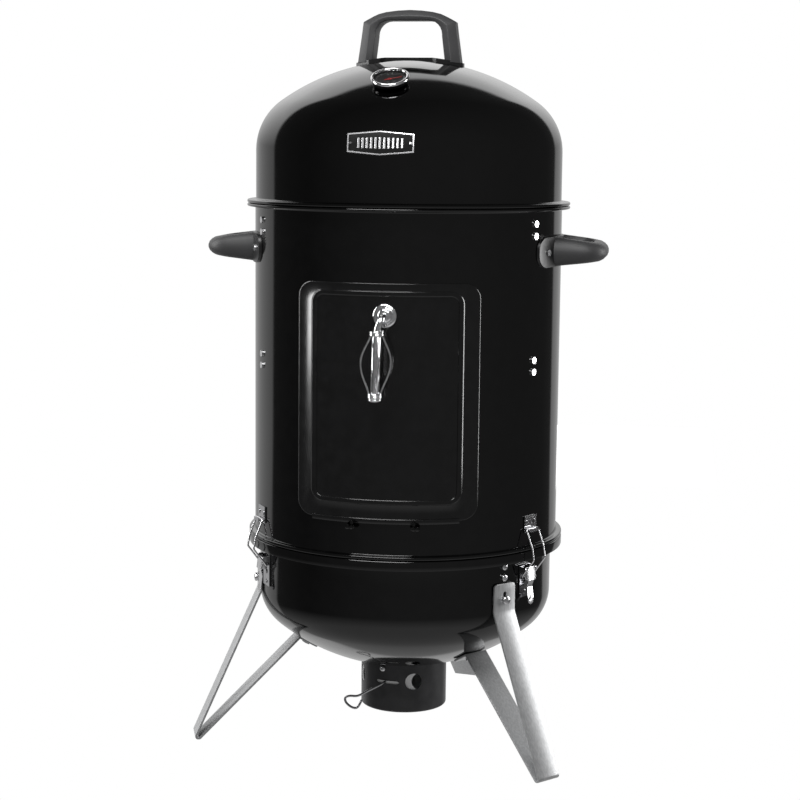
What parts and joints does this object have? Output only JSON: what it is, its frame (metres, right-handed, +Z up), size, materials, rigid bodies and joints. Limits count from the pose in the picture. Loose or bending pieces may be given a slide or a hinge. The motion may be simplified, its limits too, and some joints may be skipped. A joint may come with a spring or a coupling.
{
  "type": "vertical charcoal smoker",
  "caption": "Upright charcoal smoker: domed lid, barrel with a drop-down door, firebox bowl on strap legs, draught cup and lever latches.",
  "frame": {"origin": "on the barrel axis at floor level, in the middle of the three feet", "axes": "+Z up, the door faces -Y, +X is the right side seen from the door"},
  "size_m": [0.5814, 0.5703, 1.036],
  "materials": {
    "black_enamel": "high-gloss vitreous enamel",
    "door_enamel": "satin-gloss enamel",
    "moulded_plastic": "fine-textured moulding",
    "bracket_plastic": "plain dark moulding",
    "chrome": "polished",
    "zinc": "bright zinc plate",
    "leg_steel": "galvanised, fine grain",
    "thermo_case": "gloss",
    "dial_black": "matt printed dial",
    "needle_red": "satin",
    "dial_glass": "clear",
    "nameplate": "dark field with a bright raised frame",
    "damper_enamel": "satin high-temperature paint",
    "grate_chrome": "plated wire",
    "pan_enamel": "gloss enamel"
  },
  "bodies": {
    "stand": {"barrel_shell": "black_enamel", "side_handle_right": "moulded_plastic", "side_handle_left": "moulded_plastic", "side_handle_brackets": "bracket_plastic", "side_handle_screws": "zinc", "upper_grate_brackets": "zinc", "lower_grate_brackets": "zinc", "bracket_screws": "zinc", "bracket_nuts": "zinc", "latch_catches": "zinc", "door_hinge_lugs": "black_enamel", "door_hinge_pins": "black_enamel", "bowl_shell": "black_enamel", "leg_right": "leg_steel", "leg_left": "leg_steel", "leg_rear": "leg_steel", "leg_bolts": "zinc", "leg_nuts": "zinc", "charcoal_brackets": "zinc", "latch_bases": "zinc", "latch_pins": "zinc", "latch_rivets": "zinc", "damper_cup": "damper_enamel"},
    "lid": {"lid_shell": "black_enamel", "lid_handle": "moulded_plastic", "lid_handle_base": "bracket_plastic", "lid_handle_screws": "zinc", "lid_vent_rivet": "zinc", "thermometer_case": "thermo_case", "thermometer_bezel": "chrome", "thermometer_dial": "dial_black", "thermometer_glass": "dial_glass", "thermometer_stem": "zinc", "thermometer_nut": "zinc", "nameplate": "nameplate", "nameplate_rivets": "chrome"},
    "vent": {"lid_vent_disc": "zinc"},
    "needle": {"thermometer_needle": "needle_red"},
    "door": {"door_panel": "door_enamel", "handle_rosette": "chrome"},
    "door_handle": {"handle_spindle": "chrome", "handle_arm": "chrome", "handle_collars": "chrome", "handle_core": "chrome", "handle_cage": "chrome", "handle_cap": "chrome", "latch_tongue": "zinc"},
    "lever_right": {"latch_lever_right": "zinc"},
    "lever_left": {"latch_lever_left": "zinc"},
    "lever_rear": {"latch_lever_rear": "zinc"},
    "bail_right": {"latch_bail_right": "zinc"},
    "bail_left": {"latch_bail_left": "zinc"},
    "bail_rear": {"latch_bail_rear": "zinc"},
    "damper": {"damper_ring": "zinc", "damper_handle": "zinc"},
    "charcoal_grate": {"charcoal_grate": "grate_chrome"},
    "charcoal_ring": {"charcoal_ring": "leg_steel"},
    "water_pan": {"water_pan": "pan_enamel"},
    "lower_grate": {"lower_grate": "grate_chrome"},
    "upper_grate": {"upper_grate": "grate_chrome"}
  },
  "joints": [
    {"name": "lid_lift", "type": "slide", "parent": "stand", "child": "lid", "axis": [0, 0, 1], "range_m": [0, 0.15]},
    {"name": "vent_turn", "type": "hinge", "parent": "lid", "child": "vent", "pos_m": [0.00765, 0.18264, 0.90794], "axis": [0.0246, 0.5873, 0.809], "range_deg": [0, 60]},
    {"name": "needle_turn", "type": "hinge", "parent": "lid", "child": "needle", "pos_m": [-0.00613, -0.14636, 0.93068], "axis": [-0.0197, -0.4706, 0.8821], "range_deg": [-80, 170]},
    {"name": "door_swing", "type": "hinge", "parent": "stand", "child": "door", "pos_m": [0, -0.2235, 0.3425], "axis": [1, 0, 0], "range_deg": [0, 100]},
    {"name": "door_latch_turn", "type": "hinge", "parent": "door", "child": "door_handle", "pos_m": [0, -0.23, 0.6262], "axis": [0, -1, 0], "range_deg": [0, 90]},
    {"name": "latch_right_lever", "type": "hinge", "parent": "stand", "child": "lever_right", "pos_m": [0.18793, -0.1085, 0.27], "axis": [-0.5, -0.866, 0], "range_deg": [0, 90]},
    {"name": "latch_right_bail", "type": "hinge", "parent": "lever_right", "child": "bail_right", "pos_m": [0.18637, -0.1076, 0.2602], "axis": [-0.5, -0.866, 0], "range_deg": [-80.1, 0]},
    {"name": "latch_left_lever", "type": "hinge", "parent": "stand", "child": "lever_left", "pos_m": [-0.18793, -0.1085, 0.27], "axis": [-0.5, 0.866, 0], "range_deg": [0, 90]},
    {"name": "latch_left_bail", "type": "hinge", "parent": "lever_left", "child": "bail_left", "pos_m": [-0.18637, -0.1076, 0.2602], "axis": [-0.5, 0.866, 0], "range_deg": [-80.1, 0]},
    {"name": "latch_rear_lever", "type": "hinge", "parent": "stand", "child": "lever_rear", "pos_m": [0, 0.217, 0.27], "axis": [1, 0, 0], "range_deg": [0, 90]},
    {"name": "latch_rear_bail", "type": "hinge", "parent": "lever_rear", "child": "bail_rear", "pos_m": [0, 0.2152, 0.2602], "axis": [1, 0, 0], "range_deg": [-80.1, 0]},
    {"name": "damper_turn", "type": "hinge", "parent": "stand", "child": "damper", "pos_m": [0, 0, 0.0836], "axis": [0, 0, 1], "range_deg": [-11, 17]},
    {"name": "charcoal_grate_lift", "type": "slide", "parent": "stand", "child": "charcoal_grate", "axis": [0, 0, 1], "range_m": [0, 0.02]},
    {"name": "charcoal_ring_lift", "type": "slide", "parent": "charcoal_grate", "child": "charcoal_ring", "axis": [0, 0, 1], "range_m": [0, 0.03]},
    {"name": "water_pan_lift", "type": "slide", "parent": "stand", "child": "water_pan", "axis": [0, 0, 1], "range_m": [0, 0.012]},
    {"name": "lower_grate_lift", "type": "slide", "parent": "stand", "child": "lower_grate", "axis": [0, 0, 1], "range_m": [0, 0.045]},
    {"name": "upper_grate_lift", "type": "slide", "parent": "stand", "child": "upper_grate", "axis": [0, 0, 1], "range_m": [0, 0.008]}
  ],
  "couplings": [
    {"joint": "latch_right_bail", "follows": "latch_right_lever", "ratio": -0.89},
    {"joint": "latch_left_bail", "follows": "latch_left_lever", "ratio": -0.89},
    {"joint": "latch_rear_bail", "follows": "latch_rear_lever", "ratio": -0.89}
  ]
}
